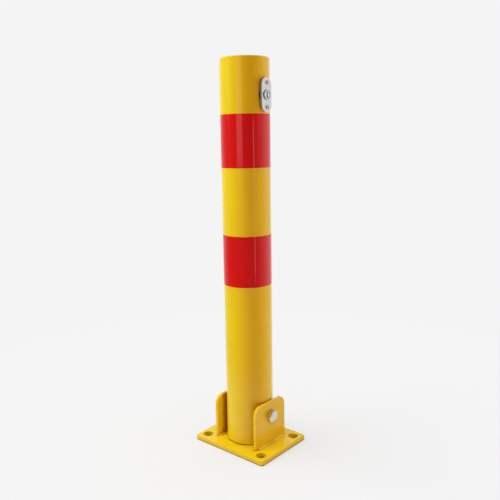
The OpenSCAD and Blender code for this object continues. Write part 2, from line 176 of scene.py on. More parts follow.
def roundCutter(radius, length, centre, segments=64):
    half = length / 2
    bar = turned("cutter", [(0, -half), (radius, -half), (radius, half), (0, half)], segments, "X")
    bar.data.transform(Matrix.Translation(centre))
    return bar


def slab(name, outline, thickness, toFrame):
    # Flat plate from a 2D outline, centred on its own plane, then placed by a matrix
    count = len(outline)
    verts = [(x, y, z) for z in (-thickness / 2, thickness / 2) for x, y in outline]
    obj = meshObject(name, verts, endFaces(count, 2) + ringFaces(count, 2))
    obj.data.transform(toFrame)
    return obj


def alongX(x=0.0, y=0.0, z=0.0):
    # Plane of a plate that faces +X: its own x runs along +Y and its own y runs up
    return Matrix.Translation((x, y, z)) @ facingX


def boxOutline(halfX, halfY):
    return [(-halfX, -halfY), (halfX, -halfY), (halfX, halfY), (-halfX, halfY)]


def arcPoints(cx, cy, radius, start, end, steps):
    angles = [math.radians(start + (end - start) * i / steps) for i in range(steps + 1)]
    return [(cx + radius * math.cos(a), cy + radius * math.sin(a)) for a in angles]


basePieces = []


def dressPiece(obj, body, slotName, material, *nodes):
    obj.data.materials.clear()
    obj.data.materials.append(material)
    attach(obj, body)
    if body == "base":
        basePieces.append(obj)
    if nodes:
        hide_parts(*nodes)


# Shader helpers

def addNode(tree, kind, inputs=None, **settings):
    node = tree.nodes.new("ShaderNode" + kind)
    for key, value in settings.items():
        setattr(node, key, value)
    for key, value in (inputs or {}).items():
        node.inputs[key].default_value = value
    return node


def rangeNode(tree, fromEnds=(0.0, 1.0), toEnds=(0.0, 1.0), smooth=False):
    node = addNode(tree, "MapRange")
    ends = {"From Min": fromEnds[0], "From Max": fromEnds[1], "To Min": toEnds[0], "To Max": toEnds[1]}
    for label, value in ends.items():
        node.inputs[label].default_value = value
    if smooth:
        node.interpolation_type = "SMOOTHSTEP"
    return node


def noiseNode(tree, point, scale, detail, roughness=0.5):
    # Noise texture at a point, with its scale from a group's input
    node = addNode(tree, "TexNoise", {"Detail": detail, "Roughness": roughness})
    tree.links.new(point, node.inputs["Vector"])
    tree.links.new(scale, node.inputs["Scale"])
    return node.outputs[0]


def blendColours(tree, mask, below, above):
    # Below where the mask is 0, above where it is 1; each is a colour or a socket
    mix = addNode(tree, "Mix", data_type="RGBA")
    tree.links.new(mask, mix.inputs[0])
    for place, colour in ((6, below), (7, above)):
        if isinstance(colour, bpy.types.NodeSocket):
            tree.links.new(colour, mix.inputs[place])
        else:
            mix.inputs[place].default_value = colour
    return mix.outputs[2]


def blendShaders(tree, mask, below, above):
    mix = addNode(tree, "MixShader")
    for place, source in enumerate((mask, below, above)):
        tree.links.new(source, mix.inputs[place])
    return mix.outputs[0]


def newGroup(name, inputs, outputs):
    # inputs: name and value (number, vector or colour); outputs: name and kind
    group = bpy.data.node_groups.new(name, "ShaderNodeTree")
    kinds = {3: "NodeSocketVector", 4: "NodeSocketColor"}
    for label, value in inputs.items():
        kind = kinds[len(value)] if isinstance(value, tuple) else "NodeSocketFloat"
        socket = group.interface.new_socket(label, in_out="INPUT", socket_type=kind)
        socket.default_value = value
    for label, kind in outputs.items():
        group.interface.new_socket(label, in_out="OUTPUT", socket_type="NodeSocket" + kind)
    return group, group.nodes.new("NodeGroupInput").outputs, group.nodes.new("NodeGroupOutput").inputs


def useGroup(tree, group, **values):
    node = tree.nodes.new("ShaderNodeGroup")
    node.node_tree = group
    for label, value in values.items():
        node.inputs[label].default_value = value
    return node


def objectPoint(tree):
    return addNode(tree, "TexCoord").outputs["Object"]


def buildOrangePeel():
    # Height of sprayed paint: a soft peel and a slower sag
    inputs = {"peelScale": 420.0, "sagScale": 40.0, "sagShare": 0.35}
    group, given, result = newGroup("orangePeel", inputs, {"height": "Float"})
    point = objectPoint(group)
    mix = addNode(group, "Mix", data_type="FLOAT")
    link = group.links.new
    link(given["sagShare"], mix.inputs[0])
    link(noiseNode(group, point, given["peelScale"], 1.5, 0.45), mix.inputs[2])
    link(noiseNode(group, point, given["sagScale"], 1.0, 0.4), mix.inputs[3])
    link(mix.outputs[0], result["height"])
    return group


def buildToneDrift():
    # Slow drift of a colour between two near tones
    grey = (0.5, 0.5, 0.5, 1)
    inputs = {"toneA": grey, "toneB": grey, "scale": 9.0}
    group, given, result = newGroup("toneDrift", inputs, {"colour": "Color", "mask": "Float"})
    clouds = noiseNode(group, objectPoint(group), given["scale"], 3.0, 0.55)
    spread = rangeNode(group, (0.2, 0.8), smooth=True)
    link = group.links.new
    link(clouds, spread.inputs["Value"])
    link(blendColours(group, spread.outputs[0], given["toneA"], given["toneB"]), result["colour"])
    link(spread.outputs[0], result["mask"])
    return group


def buildEdgeMask():
    # Mask of outer edges, broken up by noise
    inputs = {"radius": 0.0012, "breakup": 260.0, "amount": 1.0}
    group, given, result = newGroup("edgeMask", inputs, {"mask": "Float"})
    soft = addNode(group, "Bevel", samples=6)
    plain = addNode(group, "NewGeometry")
    dot = addNode(group, "VectorMath", operation="DOT_PRODUCT")
    rise = rangeNode(group, (0.985, 0.86))
    grain = noiseNode(group, objectPoint(group), given["breakup"], 4.0, 0.6)
    lift = rangeNode(group, (0.35, 0.65))
    times = addNode(group, "Math", operation="MULTIPLY")
    scaled = addNode(group, "Math", operation="MULTIPLY", use_clamp=True)
    link = group.links.new
    link(given["radius"], soft.inputs["Radius"])
    link(soft.outputs[0], dot.inputs[0])
    link(plain.outputs["Normal"], dot.inputs[1])
    link(dot.outputs["Value"], rise.inputs["Value"])
    link(grain, lift.inputs["Value"])
    link(rise.outputs[0], times.inputs[0])
    link(lift.outputs[0], times.inputs[1])
    link(times.outputs[0], scaled.inputs[0])
    link(given["amount"], scaled.inputs[1])
    link(scaled.outputs[0], result["mask"])
    return group


def buildBrushLines():
    # Fine marks; they run long along an axis whose stretch is small
    inputs = {"stretch": (1.0, 1.0, 1.0), "scale": 900.0}
    group, given, result = newGroup("brushLines", inputs, {"height": "Float"})
    stretched = addNode(group, "VectorMath", operation="MULTIPLY")
    link = group.links.new
    link(objectPoint(group), stretched.inputs[0])
    link(given["stretch"], stretched.inputs[1])
    link(noiseNode(group, stretched.outputs[0], given["scale"], 3.0, 0.65), result["height"])
    return group


def buildFootShade():
    # Mask of painted contact shade along the edge on the ground
    group, given, result = newGroup("footShade", {"height": 0.001, "breakup": 300.0}, {"mask": "Float"})
    point = objectPoint(group)
    split = addNode(group, "SeparateXYZ")
    rise = addNode(group, "Math", operation="MULTIPLY")
    fall = rangeNode(group, toEnds=(1.0, 0.0), smooth=True)
    link = group.links.new
    link(point, split.inputs[0])
    link(given["height"], rise.inputs[0])
    link(noiseNode(group, point, given["breakup"], 3.0), rise.inputs[1])
    link(split.outputs["Z"], fall.inputs["Value"])
    link(rise.outputs[0], fall.inputs["From Min"])
    link(given["height"], fall.inputs["From Max"])
    link(fall.outputs[0], result["mask"])
    return group


def buildCreviceShade():
    # Mask of painted shade in inner corners and along the welds, with a wavering border
    inputs = {"reach": 0.004, "breakup": 200.0, "open": 0.75, "closed": 0.3}
    group, given, result = newGroup("creviceShade", inputs, {"mask": "Float"})
    sky = addNode(group, "AmbientOcclusion", samples=12)
    grain = noiseNode(group, objectPoint(group), given["breakup"], 3.0)
    waver = rangeNode(group, (0.3, 0.7), (-0.08, 0.08))
    shift = addNode(group, "Math", operation="ADD")
    fall = rangeNode(group, smooth=True)
    link = group.links.new
    link(given["reach"], sky.inputs["Distance"])
    link(grain, waver.inputs["Value"])
    link(sky.outputs["AO"], shift.inputs[0])
    link(waver.outputs[0], shift.inputs[1])
    link(shift.outputs[0], fall.inputs["Value"])
    link(given["open"], fall.inputs["From Min"])
    link(given["closed"], fall.inputs["From Max"])
    link(fall.outputs[0], result["mask"])
    return group


def buildSurround():
    # What shiny surfaces see: the pale backdrop, and a dim room on the camera's side
    inputs = {"direction": (0.0, 0.0, 1.0), "dimSide": (0.0, -1.0, 0.0),
              "backTone": (0.9, 0.9, 0.9, 1), "roomTone": (0.05, 0.05, 0.05, 1)}
    group, given, result = newGroup("surround", inputs, {"colour": "Color"})
    facing = addNode(group, "VectorMath", operation="DOT_PRODUCT")
    fade = rangeNode(group, (-0.9, 0.6), smooth=True)
    link = group.links.new
    link(given["direction"], facing.inputs[0])
    link(given["dimSide"], facing.inputs[1])
    link(facing.outputs["Value"], fade.inputs["Value"])
    link(blendColours(group, fade.outputs[0], given["backTone"], given["roomTone"]), result["colour"])
    return group


orangePeel = buildOrangePeel()
toneDrift = buildToneDrift()
edgeMask = buildEdgeMask()
brushLines = buildBrushLines()
footShade = buildFootShade()
creviceShade = buildCreviceShade()
surround = buildSurround()


# Materials

def newMaterial(name, **fixed):
    material = bpy.data.materials.new(name)
    material.use_nodes = True
    shader = material.node_tree.nodes["Principled BSDF"]
    for label, value in fixed.items():
        shader.inputs[label].default_value = value
    return material, material.node_tree, shader


def bumpInto(tree, shader, height, distance):
    bump = addNode(tree, "Bump", {"Strength": 1.0, "Distance": distance})
    tree.links.new(height, bump.inputs["Height"])
    tree.links.new(bump.outputs[0], shader.inputs["Normal"])


def roughnessFrom(tree, value, shader, look):
    spread = rangeNode(tree, toEnds=(look["roughLow"], look["roughHigh"]))
    tree.links.new(value, spread.inputs["Value"])
    tree.links.new(spread.outputs[0], shader.inputs["Roughness"])


def driftingTone(tree, look):
    return useGroup(tree, toneDrift, toneA=look["toneA"], toneB=look["toneB"], scale=look["cloudScale"])


def sheenAndShadeTone(tree, tone, look):
    # The drifting tone, lighter along edges and darker in inner corners: the lighter edges are a painted
    # highlight, with wear on the metals, and the dark corners are painted shade
    edgeSheenAndWear = {"radius": look["edgeReach"], "breakup": look["edgeBreakup"], "amount": look["edge"]}
    edge = useGroup(tree, edgeMask, **edgeSheenAndWear)
    corner = useGroup(tree, creviceShade, reach=look["cornerShadeReach"])
    highlighted = blendColours(tree, edge.outputs["mask"], tone.outputs["colour"], look["edgeSheenAndWearTone"])
    return blendColours(tree, corner.outputs["mask"], highlighted, look["cornerShadeTone"])


yellowPaint = {
    "toneA": (0.83, 0.62, 0.010, 1), "toneB": (0.79, 0.58, 0.009, 1), "cloudScale": 7.0,
    # The edge tone is a painted highlight along edges; the foot tone and the corner tone are painted shade
    "edgeSheenAndWearTone": (0.87, 0.68, 0.04, 1), "edgeReach": 0.001, "edgeBreakup": 180.0, "edge": 0.5,
    "footShadeTone": (0.20, 0.13, 0.03, 1), "footShadeHeight": 0.0014, "cornerShadeTone": (0.52, 0.175, 0.003, 1),
    "roughLow": 0.13, "roughHigh": 0.19, "shine": 0.4, "peelScale": 300.0, "peelDepth": 0.00005,
}


def makeYellowPaint(name, look, onGround=False):
    material, tree, shader = newMaterial(name, **{"Specular IOR Level": look["shine"]})
    tone = driftingTone(tree, look)
    colour = sheenAndShadeTone(tree, tone, look)
    # Painted contact shade along the foot where the plate stands on the ground
    if onGround:
        contactShade = useGroup(tree, footShade, height=look["footShadeHeight"])
        colour = blendColours(tree, contactShade.outputs["mask"], colour, look["footShadeTone"])
    tree.links.new(colour, shader.inputs["Base Color"])
    roughnessFrom(tree, tone.outputs["mask"], shader, look)
    peel = useGroup(tree, orangePeel, peelScale=look["peelScale"])
    bumpInto(tree, shader, peel.outputs["height"], look["peelDepth"])
    return material


redFilm = {
    "toneA": (0.68, 0.008, 0.007, 1), "toneB": (0.62, 0.006, 0.006, 1), "cloudScale": 14.0,
    "roughLow": 0.10, "roughHigh": 0.15, "shine": 0.52,
    "waves": {"peelScale": 160.0, "sagScale": 26.0, "sagShare": 0.6}, "waveDepth": 0.00003,
}
blackRubber = {
    "toneA": (0.014, 0.013, 0.013, 1), "toneB": (0.022, 0.021, 0.02, 1), "cloudScale": 120.0,
    "roughLow": 0.55, "roughHigh": 0.75, "shine": 0.4,
    "waves": {"peelScale": 1800.0, "sagScale": 300.0, "sagShare": 0.3}, "waveDepth": 0.00003,
}


def makeSkin(name, look):
    # Even-coloured film or rubber with a wavy surface
    material, tree, shader = newMaterial(name, **{"Specular IOR Level": look["shine"]})
    tone = driftingTone(tree, look)
    tree.links.new(tone.outputs["colour"], shader.inputs["Base Color"])
    roughnessFrom(tree, tone.outputs["mask"], shader, look)
    waves = useGroup(tree, orangePeel, **look["waves"])
    bumpInto(tree, shader, waves.outputs["height"], look["waveDepth"])
    return material


# Lighter edges: a painted highlight, with wear; the dark corner tone is painted shade in inner corners
metalWearAndShade = {
    "edgeReach": 0.0005, "edgeBreakup": 600.0, "cornerShadeReach": 0.0014, "cornerShadeTone": (0.03, 0.026, 0.022, 1),
    "stretch": (1.0, 1.0, 1.0),
}
zincPlate = {
    "toneA": (0.82, 0.79, 0.74, 1), "toneB": (0.72, 0.70, 0.66, 1), "edgeSheenAndWearTone": (0.9, 0.89, 0.86, 1),
    "cloudScale": 160.0, "markScale": 1400.0, "markDepth": 0.00001,
    "roughLow": 0.24, "roughHigh": 0.42, "edge": 0.6,
}
satinChrome = {
    "toneA": (0.82, 0.81, 0.80, 1), "toneB": (0.76, 0.75, 0.74, 1), "edgeSheenAndWearTone": (0.92, 0.91, 0.89, 1),
    "cloudScale": 90.0, "stretch": (1.0, 1.0, 0.05), "markScale": 2600.0, "markDepth": 0.000006,
    "roughLow": 0.2, "roughHigh": 0.34, "edge": 0.5,
}
lockChrome = {**satinChrome, "cornerShadeReach": 0.003}  # plug and screws, with painted shade in the keyway and crosses
turnedBrass = {
    "toneA": (0.72, 0.52, 0.22, 1), "toneB": (0.62, 0.43, 0.17, 1), "edgeSheenAndWearTone": (0.85, 0.68, 0.36, 1),
    "cloudScale": 80.0, "stretch": (1.0, 0.1, 0.1), "markScale": 2400.0, "markDepth": 0.000008,
    "roughLow": 0.22, "roughHigh": 0.36, "edge": 0.5,
}
drawnSteel = {
    "toneA": (0.36, 0.35, 0.34, 1), "toneB": (0.27, 0.26, 0.255, 1), "edgeSheenAndWearTone": (0.5, 0.5, 0.5, 1),
    "cloudScale": 60.0, "stretch": (1.0, 1.0, 0.04), "markScale": 1800.0, "markDepth": 0.00001,
    "roughLow": 0.32, "roughHigh": 0.5, "edge": 0.4,
}
springWire = {
    "toneA": (0.14, 0.14, 0.15, 1), "toneB": (0.09, 0.09, 0.10, 1), "edgeSheenAndWearTone": (0.3, 0.3, 0.3, 1),
    "cloudScale": 120.0, "markScale": 1500.0, "markDepth": 0.000008,
    "roughLow": 0.28, "roughHigh": 0.42, "edge": 0.2,
}


def makeMetal(name, finish):
    # Plated, brushed or drawn metal: the finish's values say which
    look = {**metalWearAndShade, **finish}
    material, tree, shader = newMaterial(name, **{"Metallic": 1.0})
    tree.links.new(sheenAndShadeTone(tree, driftingTone(tree, look), look), shader.inputs["Base Color"])
    marks = useGroup(tree, brushLines, stretch=look["stretch"], scale=look["markScale"])
    roughnessFrom(tree, marks.outputs["height"], shader, look)
    bumpInto(tree, shader, marks.outputs["height"], look["markDepth"])
    return material


# Each place has its own reach of painted shade in inner corners
tubePaint = {**yellowPaint, "peelScale": 420.0, "cornerShadeReach": 0.003}
basePaint = {**yellowPaint, "cornerShadeReach": 0.012}
platePaint = {**yellowPaint, "cornerShadeReach": 0.0025}
paintOnTube = makeYellowPaint("paintOnTube", tubePaint)
paintOnBase = makeYellowPaint("paintOnBase", basePaint)
paintOnPlate = makeYellowPaint("paintOnPlate", platePaint, onGround=True)
filmMaterial = makeSkin("redFilm", redFilm)
zincMaterial = makeMetal("zincPlate", zincPlate)
chromeMaterial = makeMetal("satinChrome", satinChrome)
lockMaterial = makeMetal("lockChrome", lockChrome)
brassMaterial = makeMetal("turnedBrass", turnedBrass)
steelMaterial = makeMetal("drawnSteel", drawnSteel)
springMaterial = makeMetal("springWire", springWire)
rubberMaterial = makeSkin("blackRubber", blackRubber)
print("materials made")


# Base plate and ears

basePlate = {
    "cornerRadius": 0.003, "cornerSteps": 8, "topRound": 0.0011, "footRound": 0.0017, "roundSteps": 5,
    "holeRound": 0.0005, "holeBow": 0.3, "anchorRadius": 0.008, "anchorX": 0.115, "anchorY": 0.083,
    "socketRadius": 0.007, "socketY": -0.020, "crispAngle": 40,
}


def plateRing(halfX, halfY, radius, z):
    ring, steps = [], basePlate["cornerSteps"]
    for sideX, sideY, start in ((1, 1, 0), (-1, 1, 90), (-1, -1, 180), (1, -1, 270)):
        x, y = sideX * (halfX - radius), sideY * (halfY - radius)
        ring += arcPoints(x, y, radius, start, start + 90, steps)
    return [(x, y, z) for x, y in ring]


def makeBasePlate(look):
    low, high, corner = plateLow.z, plateHigh.z, look["cornerRadius"]
    foot, top = look["footRound"], look["topRound"]
    steps = [i / look["roundSteps"] * math.pi / 2 for i in range(look["roundSteps"] + 1)]
    profile = [(foot * (1 - math.sin(a)), low + foot * (1 - math.cos(a))) for a in steps]
    profile += [(top * (1 - math.cos(a)), high - top * (1 - math.sin(a))) for a in steps]
    rings = [plateRing(plateHigh.x - inset, plateHigh.y - inset, corner - inset, z) for inset, z in profile]
    count = len(rings[0])
    faces = endFaces(count, len(rings)) + ringFaces(count, len(rings))
    plate = meshObject("basePlate", [point for ring in rings for point in ring], faces)
    halfX, halfY = look["anchorX"] / 2, look["anchorY"] / 2
    holes = [(x * halfX, y * halfY, look["anchorRadius"]) for x in (-1, 1) for y in (-1, 1)]
    holes.append((0, look["socketY"], look["socketRadius"]))
    lip, bow, reach = look["holeRound"], look["holeRound"] * look["holeBow"], high - low
    cutters = []
    for x, y, radius in holes:
        profile = [(0, low - reach), (radius, low - reach), (radius, high - lip),
                   (radius + bow, high - bow), (radius + lip, high), (radius + lip, high + reach),
                   (0, high + reach)]
        cutters.append(turned("cutter", profile, 48, "Z", (x, y, 0)))
    cutWith(plate, cutters)
    smoothFaces(plate, look["crispAngle"])
    dressPiece(plate, "base", "yellow_paint", paintOnPlate, "base_plate")


hingeEar = {
    "cornerRadius": 0.015, "cornerSteps": 14, "footChamfer": 0.001, "edgeRound": 0.0007,
    "holeRadius": 0.00625, "cutLength": 0.03,
}


def makeEar(name, node, look):
    low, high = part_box(node)
    half, r, height, foot = high.y, look["cornerRadius"], high.z - low.z, look["footChamfer"]
    outline = [(-half, foot), (-half + foot, 0), (half - foot, 0), (half, foot)]
    outline += arcPoints(half - r, height - r, r, 0, 90, look["cornerSteps"])
    outline += arcPoints(-half + r, height - r, r, 90, 180, look["cornerSteps"])
    middle = (low.x + high.x) / 2
    ear = slab(name, outline, high.x - low.x, alongX(middle, 0, low.z))
    cutWith(ear, [roundCutter(look["holeRadius"], look["cutLength"], (middle, 0, pivot.z))])
    softenEdges(ear, look["edgeRound"])
    dressPiece(ear, "base", "yellow_paint", paintOnBase, node)


weldBead = {
    "leg": 0.003, "inset": 0.005, "tackLeg": 0.0025, "tackLength": 0.014, "tackInset": 0.001,
    "rows": 150, "rowsLength": 0.065, "fewestRows": 24, "across": 9, "ripple": 0.0021, "rippleDepth": 0.035,
    "drift": 0.05, "driftScale": 220, "swell": 0.03, "swellScale": 500, "swellAcross": 1.3,
    "belly": 0.14, "skew": 0.0006, "sunk": 0.0004, "closeRows": 4, "closeStart": 0.4,
    "seeds": (3.1, 7.7, 5.3), "crispAngle": 70,
}


def beadMesh(verts, faces, wallX, outward, startY, endY, leg, look, seed):
    # A rippled fillet in the corner of an ear and the plate; outward is +1 or -1 along X
    first, across, length = len(verts), look["across"], endY - startY
    steps = max(look["fewestRows"], int(look["rows"] * length / look["rowsLength"]))
    for i in range(steps + 1):
        y = startY + length * i / steps
        fade = min(1.0, (min(i, steps - i) + look["closeStart"]) / look["closeRows"]) ** 0.5
        wave = 1 - look["rippleDepth"] * abs(math.sin(math.pi * y / look["ripple"]))
        drift = 1 + look["drift"] * noise.noise(Vector((seed, y * look["driftScale"], 0)))
        for k in range(across + 1):
            a = math.radians(90 * k / across)
            bulge = 1 - look["belly"] + look["belly"] * abs(math.cos(2 * a))  # round belly with sharp toes
            grain = noise.noise(Vector((seed + 9, y * look["swellScale"], k * look["swellAcross"])))
            size = leg * fade * wave * drift * bulge * (1 + look["swell"] * grain)
            shift = look["skew"] * math.sin(2 * a)
            verts.append((wallX + outward * math.cos(a) * size, y + shift, plateTop + math.sin(a) * size))
        verts.append((wallX - outward * look["sunk"], y, plateTop - look["sunk"]))
    faces += ringFaces(across + 2, steps + 1, first) + endFaces(across + 2, steps + 1, first)


def makeWeld(name, node, earNode, side, look):
    low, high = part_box(earNode)
    inner, outer = (low.x, high.x) if side > 0 else (high.x, low.x)
    footEnd, tackEnd = high.y - look["inset"], high.y - look["tackInset"]
    tackStart = tackEnd - look["tackLength"]
    verts, faces = [], []
    runs = ((outer, side, -footEnd, footEnd, look["leg"]),
            (inner, -side, -tackEnd, -tackStart, look["tackLeg"]),
            (inner, -side, tackStart, tackEnd, look["tackLeg"]))
    for seed, run in zip(look["seeds"], runs):
        beadMesh(verts, faces, *run, look, seed * side)
    weld = meshObject(name, verts, faces)
    smoothFaces(weld, look["crispAngle"])
    dressPiece(weld, "base", "yellow_paint", paintOnBase, node)


makeBasePlate(basePlate)
makeEar("earRight", "ear_right", hingeEar)
makeEar("earLeft", "ear_left", hingeEar)
makeWeld("weldRight", "ear_weld_right", "ear_right", 1, weldBead)
makeWeld("weldLeft", "ear_weld_left", "ear_left", -1, weldBead)
print("base made")


# Hinge hardware

hexHardware = {
    "acrossFlats": 0.018, "turn": -9, "chamfer": 0.0011, "flatShare": 0.955,
    "edgeRound": 0.00025, "boltRadius": 0.006, "pitch": 0.00175, "threadDepth": 0.00095, "threadSlope": 2.4,
    "threadLength": 0.024, "threadSegments": 48, "rowsPerPitch": 10, "leadSlope": 0.9,
    "washerRound": 0.0003, "washerGap": 0.00025, "nutHeight": 0.009, "crispAngle": 40,
}
nutLock = {
    "cutLength": 0.04, "radius": 0.00836, "foot": 0.0004, "ringBite": 0.0003, "ringGap": 0.0016,
    "lip": ((0, 0.0012), (0.0004, 0.0004), (0.0013, 0), (0.0017, 0.0003)),  # inwards, below its end
    "ringBelow": 0.0005, "segments": 72, "crispAngle": 50,
}
cornerCutter = {"past": 1.3, "wide": 1.56, "above": 0.0005, "foot": 0.7}  # turns off a hexagon's corners


def hexPrism(name, height, look, base, direction):
    # Hexagon along X with its outer corners turned off
    chamfer, radius = look["chamfer"], look["acrossFlats"] / math.sqrt(3)
    corners = [math.radians(look["turn"] + 60 * i) for i in range(6)]
    outline = [(radius * math.cos(a), radius * math.sin(a)) for a in corners]
    prism = slab(name, outline, height, alongX(base + direction * height / 2, 0, pivot.z))
    flat = look["acrossFlats"] / 2 * look["flatShare"]
    slope = (radius - flat) / chamfer
    past, wide = chamfer * cornerCutter["past"], radius * cornerCutter["wide"]
    above, foot = height + cornerCutter["above"], (height - chamfer) * cornerCutter["foot"]
    profile = [(flat, above), (flat, height), (flat + slope * past, height - past), (wide, foot),
               (wide, above)]
    cutter = turned("cutter", profile, 96)
    turn = Matrix.Rotation(math.radians(90 * direction), 4, "Y")
    cutter.data.transform(Matrix.Translation((base, 0, pivot.z)) @ turn)
    return cutWith(prism, [cutter])


def makeBolt(look):
    low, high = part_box("hinge_bolt")
    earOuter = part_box("ear_right")[1].x
    head = hexPrism("boltHead", high.x - earOuter, look, earOuter, 1)
    softenEdges(head, look["edgeRound"], 2)
    dressPiece(head, "base", "zinc", zincMaterial)
    # Shank with a rolled thread at the nut end
    around, pitch = look["threadSegments"], look["pitch"]
    depth, length = look["threadDepth"], look["threadLength"]
    threadRows = int(length / pitch * look["rowsPerPitch"])
    rows = [low.x + length * i / threadRows for i in range(threadRows + 1)] + [earOuter]
    verts = []
    for x in rows:
        inThread = x < low.x + length - 1e-6
        lead = look["boltRadius"] - depth + (x - low.x) * look["leadSlope"]
        for i in range(around):
            a = 2 * math.pi * i / around
            phase = ((x - low.x) / pitch + i / around) % 1.0
            cut = depth * min(1.0, look["threadSlope"] * abs(phase - 0.5))
            r = min(look["boltRadius"] - (cut if inThread else 0.0), lead)
            verts.append((x, r * math.cos(a), pivot.z + r * math.sin(a)))
    faces = ringFaces(around, len(rows)) + endFaces(around, len(rows))
    shank = meshObject("boltShank", verts, faces)
    smoothFaces(shank, look["crispAngle"])
    dressPiece(shank, "base", "zinc", zincMaterial, "hinge_bolt")


def makeWasher(look):
    low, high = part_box("hinge_washer")
    radius, thick, edge = high.y, high.x - low.x, look["washerRound"]
    hole = look["boltRadius"] + look["washerGap"]
    profile = [(hole, 0), (radius - edge, 0), (radius, edge), (radius, thick - edge),
               (radius - edge, thick), (hole, thick)]
    washer = turned("washer", profile, 96, "X", (low.x, 0, pivot.z))
    smoothFaces(washer, 30)
    dressPiece(washer, "base", "zinc", zincMaterial, "hinge_washer")


def makeNut(look, lock):
    low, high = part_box("hinge_nut")
    nut = hexPrism("nut", look["nutHeight"], look, high.x, -1)
    cutWith(nut, [roundCutter(look["boltRadius"], lock["cutLength"], (high.x, 0, pivot.z))])
    softenEdges(nut, look["edgeRound"], 2)
    dressPiece(nut, "base", "zinc", zincMaterial, "hinge_nut")
    # Rolled collar that holds the locking ring
    reach, start, r = low.x, high.x - look["nutHeight"], lock["radius"]
    lip, foot = [(r - inward, reach + below) for inward, below in lock["lip"]], start + lock["foot"]
    profile = [(r, foot), *lip, (lip[-1][0], foot)]
    collar = turned("nutCollar", profile, lock["segments"], "X", (0, 0, pivot.z))
    smoothFaces(collar, lock["crispAngle"])
    dressPiece(collar, "base", "zinc", zincMaterial)
    bore, outside = look["boltRadius"] - lock["ringBite"], r - lock["ringGap"]
    face = reach + lock["ringBelow"]
    profile = [(bore, start), (bore, face), (outside, face), (outside, start)]
    ring = turned("nutRing", profile, lock["segments"], "X", (0, 0, pivot.z))
    smoothFaces(ring, look["crispAngle"])
    dressPiece(ring, "base", "rubber", rubberMaterial)


makeBolt(hexHardware)
makeWasher(hexHardware)
makeNut(hexHardware, nutLock)
print("hinge hardware made")


# Post

postTube = {
    "wall": 0.0025, "segments": 192, "aboveHinge": 0.002, "levels": (0.12, 0.25, 0.40),
    "reliefClear": 0.0005, "sleeveRadius": 0.009, "lockHoleRadius": 0.0098, "edgeRound": 0.0004,
}


def makeTube(look):
    segments, inner = look["segments"], tubeRadius - look["wall"]
    swing = pivot.z - tubeLow.z - look["reliefClear"]
    levels = [None, pivot.z + look["aboveHinge"], *look["levels"], tubeHigh.z]
    verts = []

    def footZ(y):
        # Square in front and rounded about the hinge behind
        return pivot.z - math.sqrt(swing * swing - y * y) if y > 1e-6 else tubeLow.z

    for radius in (tubeRadius, inner):
        for level in levels:
            for i in range(segments):
                a = 2 * math.pi * (i + 0.5) / segments
                x, y = radius * math.cos(a), radius * math.sin(a)
                verts.append((x, y, footZ(y) if level is None else level))
    count = len(levels)
    faces = ringFaces(segments, count) + ringFaces(segments, count, count * segments)
    for level in (0, count - 1):
        for i in range(segments):
            j = (i + 1) % segments
            a, b = level * segments, (count + level) * segments
            faces.append([a + i, a + j, b + j, b + i])
    tube = meshObject("postTube", verts, faces)
    cutWith(tube, [
        roundCutter(look["sleeveRadius"], 4 * tubeRadius, (0, 0, pivot.z)),
        roundCutter(look["lockHoleRadius"], 2 * tubeRadius, (tubeRadius, 0, lockZ)),
    ])
    softenEdges(tube, look["edgeRound"], 2, 40)
    dressPiece(tube, "post", "yellow_paint", paintOnTube, "post_tube")


topCap = {"rimRadius": 0.002, "rimSteps": 8, "innerRing": 0.6, "crispAngle": 35}


def makeCap(look):
    low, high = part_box("top_cap")
    r, rim = high.x, look["rimRadius"]
    profile = [(0, low.z), (r, low.z)]
    profile += arcPoints(r - rim, high.z - rim, rim, 0, 90, look["rimSteps"])
    profile += [((r - rim) * share, high.z) for share in (look["innerRing"], 0)]
    cap = turned("topCap", profile, postTube["segments"])
    smoothFaces(cap, look["crispAngle"])
    dressPiece(cap, "post", "yellow_paint", paintOnTube, "top_cap")


bandFilm = {
    "gap": 0.00002, "edgeRound": 0.00012, "lap": 0.0002, "lapAngle": 118, "lapWidth": 9, "crispAngle": 30,
}


def makeBand(name, node, look):
    low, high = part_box(node)
    outer, inner, edge = high.x, tubeRadius + look["gap"], look["edgeRound"]
    profile = [(inner, low.z), (outer - edge, low.z), (outer, low.z + edge), (outer, (low.z + high.z) / 2),
               (outer, high.z - edge), (outer - edge, high.z), (inner, high.z)]
    band = turned(name, profile, postTube["segments"])
    for vert in band.data.vertices:  # the film laps over itself on the far side
        angle = math.degrees(math.atan2(vert.co.y, vert.co.x))
        if abs(angle - look["lapAngle"]) < look["lapWidth"] / 2 and vert.co.xy.length > inner + edge:
            vert.co.xy *= 1 + look["lap"] / outer
    smoothFaces(band, look["crispAngle"])
    dressPiece(band, "post", "red_film", filmMaterial, node)


makeTube(postTube)
makeCap(topCap)
makeBand("bandLower", "band_lower", bandFilm)
makeBand("bandUpper", "band_upper", bandFilm)
print("post made")


# Lock

lockFront = {
    "edgeRound": 0.0005, "noseRadius": 0.0073, "noseBore": 0.0061, "noseGap": 0.00012, "noseEdge": 0.0006,
    "noseMid": 0.00018, "boreEdge": 0.0003, "plugRadius": 0.005, "plugGap": 0.0001, "plugRecess": 0.0004,
    "plugHead": 0.006, "plugHeadLength": 0.003, "plugEdge": 0.0003, "tailHalf": 0.0025, "tailRound": 0.0002,
    "keywayWidth": 0.0028, "keywayHeight": 0.0088, "keywayDepth": 0.014, "keywayRound": 0.00012,
    "ward": 0.0006, "cutLength": 0.03, "segments": 96, "crispAngle": 50,
}
lockScrew = {
    "spacing": 0.0354, "head": 0.0034, "shank": 0.002, "sinkDepth": 0.0015, "below": 0.0005,
    "length": 0.014, "gap": 0.0009, "shankGap": 0.0002, "rimInset": 0.00015, "rimDepth": 0.00012,
    "edgeRound": 0.00008, "cutBelow": 0.01, "cutAbove": 0.002, "sinkAbove": 0.00005,
    "crossTurn": 18, "crossWidth": 0.0016, "crossLength": 0.0042, "crossDepth": 0.0014,
}


